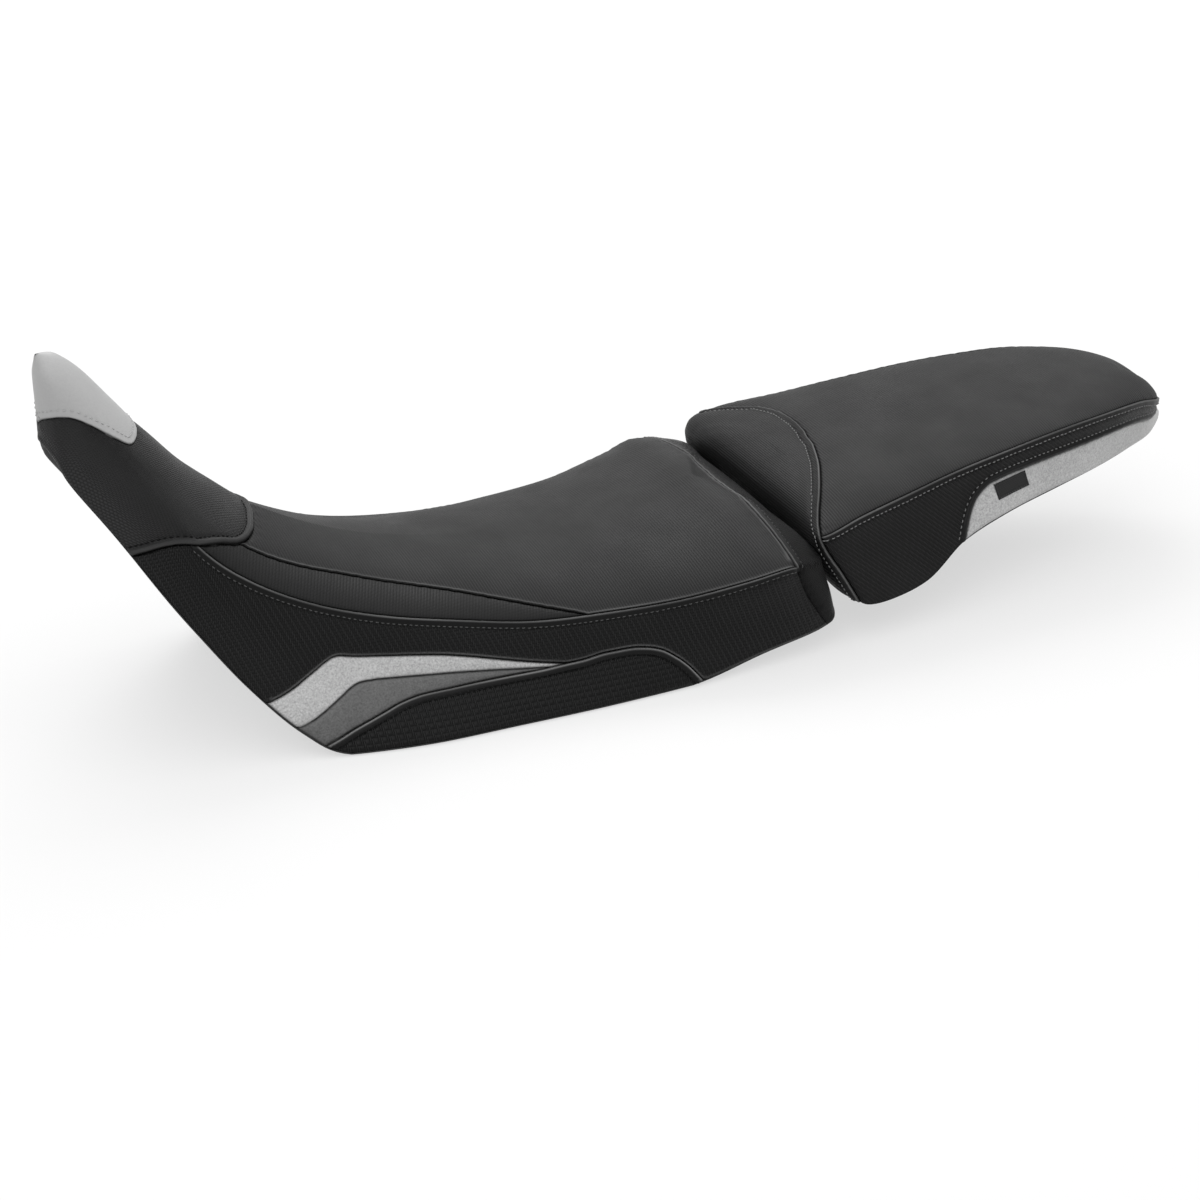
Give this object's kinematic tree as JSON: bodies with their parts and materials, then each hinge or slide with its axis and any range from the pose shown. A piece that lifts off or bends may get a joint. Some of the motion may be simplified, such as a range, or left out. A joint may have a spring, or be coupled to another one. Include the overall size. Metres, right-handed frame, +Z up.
{
  "type": "motorcycle seat",
  "caption": "Two-piece touring motorcycle seat: long rider cushion with a climbing nose, and a separate lift-off passenger cushion, both sewn covers over foam on moulded pans.",
  "frame": {"origin": "middle of the seat's bounding box at its lowest point, on the surface it rests on", "axes": "+X to the rear of the motorcycle, +Y to its right, +Z up"},
  "size_m": [1.0078, 0.3002, 0.313],
  "materials": {
    "black_vinyl": "embossed satin",
    "ribbed_vinyl": "fine ribbed, matte",
    "light_grey_vinyl": "satin",
    "silver_vinyl": "satin",
    "grey_vinyl": "satin",
    "foam": "matte",
    "pan_plastic": "matte",
    "rubber": "matte",
    "zinc_steel": "satin",
    "tag_fabric": "matte"
  },
  "bodies": {
    "rider_seat": {"rider_base_pan": "pan_plastic", "rider_bumper_front_left": "rubber", "rider_bumper_front_right": "rubber", "rider_bumper_middle_left": "rubber", "rider_bumper_middle_right": "rubber", "rider_bumper_rear_left": "rubber", "rider_bumper_rear_right": "rubber", "rider_flank_left": "black_vinyl", "rider_flank_right": "black_vinyl", "rider_foam": "foam", "rider_front_tongue": "zinc_steel", "rider_grey_flash_left": "grey_vinyl", "rider_grey_flash_right": "grey_vinyl", "rider_inset_left": "ribbed_vinyl", "rider_inset_right": "ribbed_vinyl", "rider_kick_panel_left": "black_vinyl", "rider_kick_panel_right": "black_vinyl", "rider_nose_cap": "light_grey_vinyl", "rider_nose_panel": "black_vinyl", "rider_rear_hook_left": "zinc_steel", "rider_rear_hook_right": "zinc_steel", "rider_rear_panel": "black_vinyl", "rider_seat_panel": "ribbed_vinyl", "rider_silver_flash_left": "silver_vinyl", "rider_silver_flash_right": "silver_vinyl", "rider_tongue_rivet_left": "zinc_steel", "rider_tongue_rivet_right": "zinc_steel"},
    "passenger_seat": {"passenger_base_pan": "pan_plastic", "passenger_bumper_front_left": "rubber", "passenger_bumper_front_right": "rubber", "passenger_bumper_rear_left": "rubber", "passenger_bumper_rear_right": "rubber", "passenger_flank_left": "black_vinyl", "passenger_flank_right": "black_vinyl", "passenger_foam": "foam", "passenger_front_hook_left": "zinc_steel", "passenger_front_hook_right": "zinc_steel", "passenger_front_panel": "ribbed_vinyl", "passenger_seat_panel": "ribbed_vinyl", "passenger_silver_left": "silver_vinyl", "passenger_silver_right": "silver_vinyl", "passenger_striker_loop": "zinc_steel", "passenger_striker_nut_front": "zinc_steel", "passenger_striker_nut_rear": "zinc_steel", "passenger_striker_plate": "zinc_steel", "passenger_tag": "tag_fabric"}
  },
  "joints": [
    {"name": "passenger_seat_lift", "type": "slide", "parent": "rider_seat", "child": "passenger_seat", "axis": [0, 0, 1], "range_m": [0, 0.15]}
  ]
}
